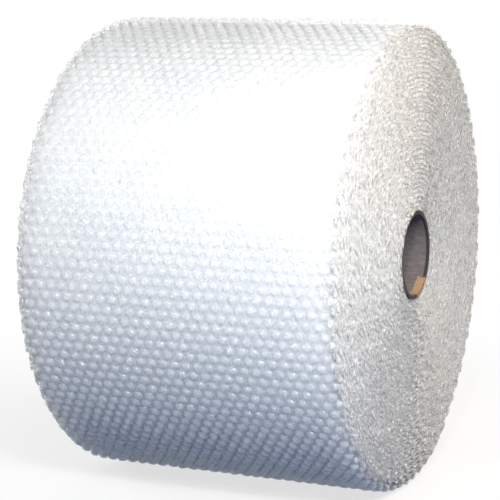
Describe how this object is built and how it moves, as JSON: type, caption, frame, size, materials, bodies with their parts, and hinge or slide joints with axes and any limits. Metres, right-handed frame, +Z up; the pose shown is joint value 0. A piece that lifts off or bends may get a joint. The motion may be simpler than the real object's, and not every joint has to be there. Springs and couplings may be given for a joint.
{
  "type": "bubble cushioning roll",
  "caption": "Soft roll of clear small-bubble cushioning film wound on a paper tube, lying on its side with a through bore for a dispenser rod.",
  "frame": {"origin": "middle of the roll's underside, on the surface that it lies on", "axes": "+X along the roll's axis, +Y towards its back, where the loose end of the film lies, +Z up"},
  "size_m": [0.305, 0.436, 0.4366],
  "materials": {
    "kraft_paper": "matt, spiral wound",
    "clear_film": "clear film, milky where its layers add up"
  },
  "bodies": {
    "root": {"paper_core": "kraft_paper", "bubble_film": "clear_film"}
  },
  "joints": []
}
